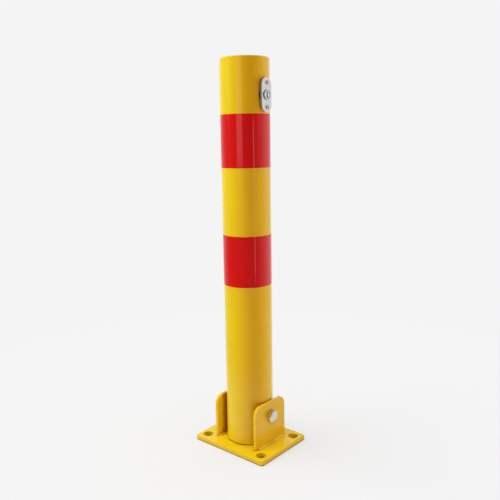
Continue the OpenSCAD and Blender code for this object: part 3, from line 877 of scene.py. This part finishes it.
def makeLockPlate(look, screw):
    low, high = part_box("lock_plate")
    r = high.y
    straight = (high.z - low.z) / 2 - r
    outline = arcPoints(0, straight, r, 0, 180, 32) + arcPoints(0, -straight, r, 180, 360, 32)
    plate = slab("lockPlate", outline, high.x - low.x, alongX((low.x + high.x) / 2, 0, lockZ))
    cutters = [roundCutter(look["noseRadius"] + look["noseGap"], look["cutLength"], (high.x, 0, lockZ),
                           look["segments"])]
    shank, head = screw["shank"] + screw["shankGap"], screw["head"] + screw["gap"]
    sink, foot, top = -screw["sinkDepth"] - screw["shankGap"], -screw["cutBelow"], screw["cutAbove"]
    profile = [(0, foot), (shank, foot), (shank, sink), (head, screw["sinkAbove"]), (head, top), (0, top)]
    for end in (-1, 1):
        z = lockZ + end * screw["spacing"] / 2
        cutters.append(turned("cutter", profile, 48, "X", (high.x, 0, z)))
    cutWith(plate, cutters)
    softenEdges(plate, look["edgeRound"], 4, 50)
    smoothFaces(plate, 30)
    dressPiece(plate, "post", "chrome", chromeMaterial, "lock_plate")


def makeLockScrew(name, end, look, nodes):
    face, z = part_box("lock_plate")[1].x - look["below"], lockZ + end * look["spacing"] / 2
    head, shank, foot = look["head"], look["shank"], -look["length"]
    profile = [(0, foot), (shank, foot), (shank, -look["sinkDepth"]), (head, -look["rimDepth"]),
               (head - look["rimInset"], 0), (0, 0)]
    screw = turned(name, profile, 64, "X", (face, 0, z))
    arm = boxOutline(look["crossLength"] / 2, look["crossWidth"] / 2)
    cutters = []
    for turn in (look["crossTurn"], look["crossTurn"] + 90):
        place = alongX(face, 0, z) @ Matrix.Rotation(math.radians(turn), 4, "Z")
        cutters.append(slab("cutter", arm, 2 * look["crossDepth"], place))
    cutWith(screw, cutters)
    softenEdges(screw, look["edgeRound"], 2, 35)
    dressPiece(screw, "post", "chrome", lockMaterial, *nodes)


def makeHousing(look):
    low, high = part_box("lock_housing")
    back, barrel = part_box("lock_plate")[0].x, high.y
    bore, nose, body = look["noseBore"], look["noseRadius"], look["plugRadius"] + look["plugGap"]
    edge, mid, lip = look["noseEdge"], look["noseMid"], look["boreEdge"]
    seat = high.x - look["plugRecess"] - look["plugHeadLength"] - look["plugGap"]
    profile = [(body, low.x), (barrel - edge, low.x), (barrel, low.x + edge), (barrel, back), (body, back)]
    housing = turned("lockBarrel", profile, look["segments"], "X", (0, 0, lockZ))
    smoothFaces(housing, look["crispAngle"])
    dressPiece(housing, "post", "brass", brassMaterial, "lock_housing")
    profile = [(body, back), (nose, back), (nose, high.x - edge), (nose - mid, high.x - mid),
               (nose - edge, high.x), (bore + lip, high.x), (bore, high.x - lip), (bore, seat),
               (body, seat)]
    ring = turned("lockNose", profile, look["segments"], "X", (0, 0, lockZ))
    smoothFaces(ring, look["crispAngle"])
    dressPiece(ring, "post", "chrome", chromeMaterial)


def makePlug(look):
    low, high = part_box("key_plug")
    face, r, shaft, edge = high.x, look["plugHead"], look["plugRadius"], look["plugEdge"]
    rear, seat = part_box("lock_housing")[0].x, face - look["plugHeadLength"]
    profile = [(0, rear), (shaft, rear), (shaft, seat), (r, seat), (r, face - edge), (r - edge, face),
               (0, face)]
    plug = turned("keyPlug", profile, look["segments"], "X", (0, 0, lockZ))
    w, h, ward = look["keywayWidth"] / 2, look["keywayHeight"] / 2, look["ward"]
    # Side steps guide the key
    outline = [(-w, -h), (w, -h), (w, -h * 0.25), (w - ward, -h * 0.15), (w - ward, h * 0.2), (w, h * 0.3),
               (w, h), (-w, h), (-w, h * 0.55), (-w + ward, h * 0.45), (-w + ward, h * 0.1), (-w, 0)]
    cutWith(plug, [slab("cutter", outline, 2 * look["keywayDepth"], alongX(face, 0, lockZ))])
    softenEdges(plug, look["keywayRound"], 2, 35)
    dressPiece(plug, "plug", "chrome", lockMaterial, "key_plug")
    square = boxOutline(look["tailHalf"], look["tailHalf"])
    end = slab("plugTail", square, rear - low.x, alongX((rear + low.x) / 2, 0, lockZ))
    softenEdges(end, look["tailRound"], 2)
    dressPiece(end, "plug", "chrome", chromeMaterial)


makeLockPlate(lockFront, lockScrew)
makeLockScrew("lockScrewUpper", 1, lockScrew, ("lock_screws",))
makeLockScrew("lockScrewLower", -1, lockScrew, ())
makeHousing(lockFront)
makePlug(lockFront)
print("lock made")


# Parts that keep their solids

keptNodes = {
    "lock_seal": rubberMaterial, "pivot_sleeve": steelMaterial, "rod_guide_lower": steelMaterial,
    "rod_guide_upper": steelMaterial, "rod_spring": springMaterial, "lock_rod": steelMaterial,
    "spring_collar": zincMaterial, "collar_pin": springMaterial, "rod_yoke": zincMaterial,
    "lock_cam": zincMaterial, "cam_pin": zincMaterial, "cam_screw": zincMaterial,
}
for nodeName, material in keptNodes.items():
    node = frame["nodes"][nodeName]
    for materialSlot in node.material_slots:
        materialSlot.material = material
print("kept nodes dressed:", len(keptNodes))


# Studio, with the camera from the photo's perspective
photoCamera = {
    "distance": 0.94346, "turn": -49.101, "height": 0.48413, "yaw": -0.2495, "pitch": 10.194,
    "roll": -0.9055, "lens": 43.510, "sensor": 36.0,
}
studio = {
    "floorTone": (0.86, 0.86, 0.865, 1), "bounceTone": (0.65, 0.65, 0.65, 1),
    # The under tone is painted shade on the floor under the plate
    "underPlateShadeTone": (0.35, 0.21, 0.05, 1), "backTone": (0.905, 0.905, 0.907, 1),
    "roomTone": (0.05, 0.05, 0.052, 1), "dimTurn": -25,
    "floorSize": 6.0, "floorRough": 0.9, "seenRadius": (0.35, 0.9), "shinyRadius": (0.12, 0.5),
    "seenGlow": 0.45, "worldLight": 0.05, "aimHeight": 0.3,
}


def aroundPost(angle, distance, height):
    # The angle is measured round the post from the camera's direction, positive to the camera's right
    turn = math.radians(photoCamera["turn"] + angle)
    return Vector((distance * math.cos(turn), distance * math.sin(turn), height))


def addSurround(tree, look, direction):
    dimSide = aroundPost(look["dimTurn"], 1.0, 0.0)
    node = useGroup(tree, surround, dimSide=dimSide, backTone=look["backTone"], roomTone=look["roomTone"])
    tree.links.new(direction, node.inputs["direction"])
    return node.outputs["colour"]


def underPlate(tree, point):
    # Mask of the floor under the plate, with the plate's rounded corners
    corner, zero = basePlate["cornerRadius"], (0, 0, 0)
    straight = (plateHigh.x - corner, plateHigh.y - corner, 0)
    for operation, second in (("ABSOLUTE", zero), ("SUBTRACT", straight), ("MAXIMUM", zero)):
        step = addNode(tree, "VectorMath", {1: second}, operation=operation)
        tree.links.new(point, step.inputs[0])
        point = step.outputs[0]
    away = addNode(tree, "VectorMath", operation="LENGTH")
    under = addNode(tree, "Math", {1: corner}, operation="LESS_THAN")
    tree.links.new(point, away.inputs[0])
    tree.links.new(away.outputs["Value"], under.inputs[0])
    return under.outputs[0]


def makeFloor(look):
    size = look["floorSize"]
    corners = [(x, y, 0) for x, y in boxOutline(size, size)]
    floor = meshObject("floor", corners, [[0, 1, 2, 3]])
    material, tree, shader = newMaterial("floorPaper", **{"Roughness": look["floorRough"]})
    output = tree.nodes["Material Output"]
    link = tree.links.new
    rays = addNode(tree, "LightPath").outputs
    point = objectPoint(tree)
    # Painted shade on the floor under the plate, seen only through its holes and along its foot
    under = underPlate(tree, point)
    paper = blendColours(tree, rays["Is Diffuse Ray"], look["floorTone"], look["bounceTone"])
    link(blendColours(tree, under, paper, look["underPlateShadeTone"]), shader.inputs["Base Color"])
    # Far from the post the paper glows as the backdrop, without a shadow
    away = addNode(tree, "VectorMath", operation="LENGTH")
    direction = addNode(tree, "VectorMath", operation="NORMALIZE")
    ramp = addNode(tree, "MapRange", interpolation_type="SMOOTHSTEP")
    link(point, away.inputs[0])
    link(point, direction.inputs[0])
    link(away.outputs["Value"], ramp.inputs["Value"])
    rampEnds = {
        "From Min": (look["seenRadius"][0], look["shinyRadius"][0]),
        "From Max": (look["seenRadius"][1], look["shinyRadius"][1]),
        "To Min": (look["seenGlow"], 0.0),
    }
    for label, (plain, shiny) in rampEnds.items():
        value = addNode(tree, "Mix", {2: plain, 3: shiny}, data_type="FLOAT")
        link(rays["Is Glossy Ray"], value.inputs[0])
        link(value.outputs[0], ramp.inputs[label])
    amount = ramp.outputs[0]
    for hidden in (rays["Is Diffuse Ray"], under):
        shown = addNode(tree, "Math", {0: 1.0}, operation="SUBTRACT", use_clamp=True)
        share = addNode(tree, "Math", operation="MULTIPLY")
        link(hidden, shown.inputs[1])
        link(amount, share.inputs[0])
        link(shown.outputs[0], share.inputs[1])
        amount = share.outputs[0]
    around = addSurround(tree, look, direction.outputs[0])
    glow = addNode(tree, "Emission")
    link(blendColours(tree, rays["Is Glossy Ray"], look["backTone"], around), glow.inputs["Color"])
    link(blendShaders(tree, amount, shader.outputs[0], glow.outputs[0]), output.inputs["Surface"])
    floor.data.materials.append(material)
    return floor


def makeWorld(look):
    world = bpy.data.worlds.new("studioAir")
    world.use_nodes = True
    bpy.context.scene.world = world
    tree = world.node_tree
    tree.nodes.clear()
    link = tree.links.new
    rays = addNode(tree, "LightPath").outputs
    seen = addNode(tree, "Math", operation="MAXIMUM")
    link(rays["Is Camera Ray"], seen.inputs[0])
    link(rays["Is Transmission Ray"], seen.inputs[1])
    back = addNode(tree, "Background", {"Color": look["backTone"]})
    light = addNode(tree, "Background", {"Color": (1, 1, 1, 1), "Strength": look["worldLight"]})
    mirrored = addNode(tree, "Background")
    around = addSurround(tree, look, addNode(tree, "TexCoord").outputs["Generated"])
    link(around, mirrored.inputs["Color"])
    unseen = blendShaders(tree, rays["Is Glossy Ray"], light.outputs[0], mirrored.outputs[0])
    output = addNode(tree, "OutputWorld")
    link(blendShaders(tree, seen.outputs[0], unseen, back.outputs[0]), output.inputs["Surface"])


def makeCamera(look):
    place = aroundPost(0, look["distance"], plateTop + look["height"])
    towards = -aroundPost(0, 1.0, 0.0)
    towards.rotate(Matrix.Rotation(math.radians(look["yaw"]), 3, "Z"))
    pitch, roll = math.radians(look["pitch"]), math.radians(look["roll"])
    aim = towards * math.cos(pitch) - Vector((0, 0, math.sin(pitch)))
    right = aim.cross(Vector((0, 0, 1))).normalized()
    up = right.cross(aim)
    rolledRight = right * math.cos(roll) + up * math.sin(roll)
    rolledUp = up * math.cos(roll) - right * math.sin(roll)
    data = bpy.data.cameras.new("photoCamera")
    data.lens, data.sensor_width = look["lens"], look["sensor"]
    camera = bpy.data.objects.new("photoCamera", data)
    bpy.context.scene.collection.objects.link(camera)
    axes = Matrix((rolledRight, rolledUp, -aim)).transposed()
    camera.matrix_world = Matrix.Translation(place) @ axes.to_4x4()
    bpy.context.scene.camera = camera


def makeGroup(name, members):
    group = bpy.data.collections.new(name)
    for member in members:
        group.objects.link(member)
    return group


def placeLight(name, data, place, aim, litOnly):
    light = bpy.data.objects.new(name, data)
    bpy.context.scene.collection.objects.link(light)
    light.location = place
    light.rotation_mode = "QUATERNION"
    light.rotation_quaternion = aim.to_track_quat("-Z", "Y")
    light.light_linking.receiver_collection = litOnly
    return light


def makeLamp(name, look, litOnly):
    data = bpy.data.lights.new(name, "AREA")
    data.shape = "RECTANGLE"
    data.size, data.size_y = look["size"]
    data.energy, data.color = look["power"], look["tint"]
    place = aroundPost(look["angle"], look["distance"], look["height"])
    lamp = placeLight(name, data, place, Vector((0, 0, studio["aimHeight"])) - place, litOnly)
    lamp.visible_glossy = look["glossy"]  # either a reflection or light, never both
    lamp.visible_diffuse = not look["glossy"]
    lamp.visible_camera = False


def makeSun(name, look, litOnly):
    data = bpy.data.lights.new(name, "SUN")
    data.energy, data.angle = look["power"], math.radians(look["spread"])
    climb = math.radians(look["climb"])
    aim = -aroundPost(look["angle"], math.cos(climb), math.sin(climb))
    sun = placeLight(name, data, (0, 0, 0), aim, litOnly)
    sun.visible_glossy = False


warmWhite, paleWhite = (1.0, 0.96, 0.9), (1.0, 0.97, 0.9)
coolWhite, deepRed = (1.0, 0.95, 1.0), (1.0, 0.05, 0.04)
plainLamp = {"tint": (1, 1, 1), "glossy": False, "lights": "object"}
lamps = {
    "keySoftbox": {"angle": -80, "distance": 1.8, "height": 1.1, "size": (0.6, 1.4), "power": 25.3,
                   "tint": warmWhite, "lights": "post"},
    "keyBase": {"angle": -80, "distance": 1.8, "height": 0.9, "size": (0.6, 1.4), "power": 18.5,
                "tint": paleWhite, "lights": "base"},
    "baseFront": {"angle": 4, "distance": 1.4, "height": 1.3, "size": (0.5, 0.5), "power": 7.6,
                  "tint": paleWhite, "lights": "base"},
    "lemonTop": {"angle": -88, "distance": 0.8, "height": 0.78, "size": (0.3, 0.3), "power": 1.8,
                 "tint": (0.4, 1.0, 0.3), "lights": "post"},
    "frontLow": {"angle": 12, "distance": 0.5, "height": 0.12, "size": (0.25, 0.2), "power": 0.15,
                 "tint": (1.0, 0.95, 0.9), "lights": "post"},
    "rightSoftbox": {"angle": 104, "distance": 1.9, "height": 0.6, "size": (0.7, 1.4), "power": 16.5,
                     "tint": warmWhite, "lights": "post"},
    "overhead": {"angle": -100, "distance": 0.15, "height": 3.6, "size": (1.3, 1.3), "power": 86.0,
                 "tint": coolWhite, "lights": "base"},
    "topSoftbox": {"angle": -100, "distance": 0.15, "height": 3.6, "size": (0.5, 0.5), "power": 65.0,
                   "tint": coolWhite, "lights": "post"},
    "warmLeft": {"angle": -32, "distance": 2.4, "height": 0.4, "size": (1.6, 1.6), "power": 9.0,
                 "tint": deepRed},
    "warmRight": {"angle": 38, "distance": 2.4, "height": 0.2, "size": (1.6, 1.6), "power": 18.0,
                  "tint": deepRed},
    "leftPanel": {"angle": -28, "distance": 2.2, "height": 0.75, "size": (1.0, 0.8), "power": 2.5,
                  "glossy": True},
    "baseSoftbox": {"angle": 56, "distance": 1.8, "height": 1.1, "size": (0.7, 1.0), "power": 6.0,
                    "tint": warmWhite, "lights": "base"},
    "rightStrip": {"angle": 36, "distance": 1.3, "height": 0.28, "size": (0.1, 0.56), "power": 0.24,
                   "glossy": True},
}
floorSuns = {
    "floorKey": {"angle": -95, "climb": 38, "spread": 60, "power": 1.0},
    "floorFill": {"angle": 0, "climb": 90, "spread": 120, "power": 2.66},
}


floor = makeFloor(studio)
makeWorld(studio)
makeCamera(photoCamera)
solids = [o for o in bpy.context.scene.objects if o.type == "MESH" and o != floor]
lit = {
    "object": makeGroup("litObject", solids),
    "base": makeGroup("litBase", [o for o in solids if o in basePieces]),
    "post": makeGroup("litPost", [o for o in solids if o not in basePieces]),
    "floor": makeGroup("litFloor", [floor]),
}
for lampName, values in lamps.items():
    lamp = {**plainLamp, **values}
    makeLamp(lampName, lamp, lit[lamp["lights"]])
for sunName, sun in floorSuns.items():
    makeSun(sunName, sun, lit["floor"])

bpy.context.scene.view_settings.view_transform = "Standard"
print("studio made")
